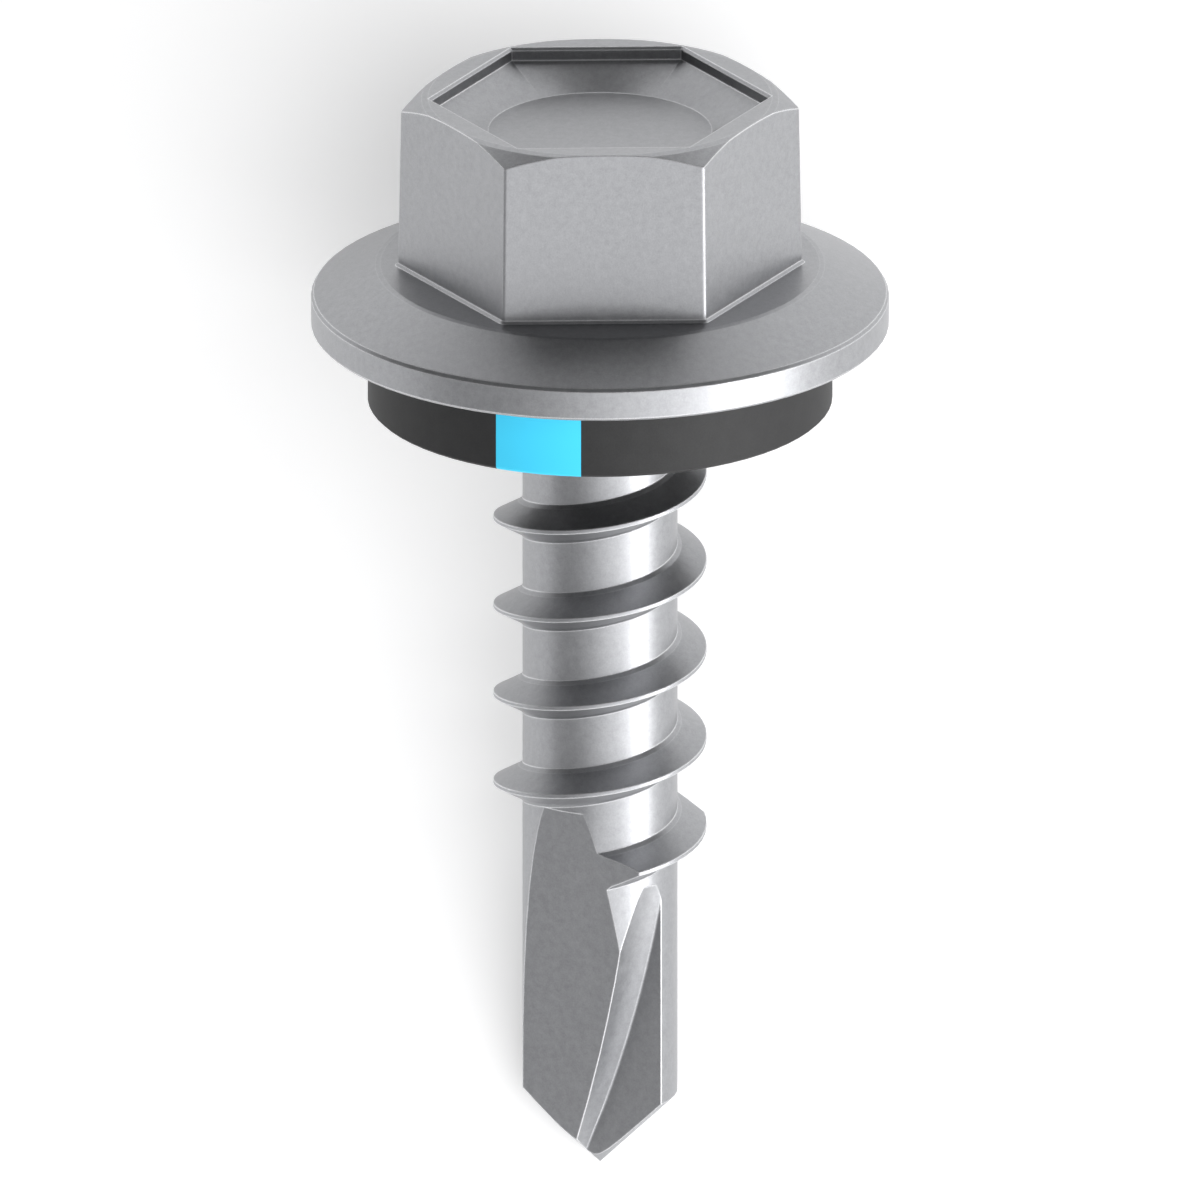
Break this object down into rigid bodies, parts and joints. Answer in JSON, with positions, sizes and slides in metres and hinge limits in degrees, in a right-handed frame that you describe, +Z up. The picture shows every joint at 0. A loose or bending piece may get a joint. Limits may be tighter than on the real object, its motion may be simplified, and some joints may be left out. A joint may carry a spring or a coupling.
{
  "type": "self drilling screw",
  "caption": "Hexagon flange head self drilling screw with a coarse thread, a fluted drill point and a captive rubber sealing washer.",
  "frame": {"origin": "centre of the bounding box at the level of the table that the screw lies on", "axes": "+Z up; +X runs along the screw from its head to its drill point, the way it is driven, seen from above; the tip lies lower than the head, because the screw rests on its flange and its point"},
  "size_m": [0.0256, 0.013, 0.0127],
  "materials": {
    "coated_steel": "satin zinc coating, fine grained",
    "rubber": "matt black, with one sky blue batch mark on its edge"
  },
  "bodies": {
    "root": {"screw": "coated_steel", "seal_washer": "rubber"}
  },
  "joints": []
}
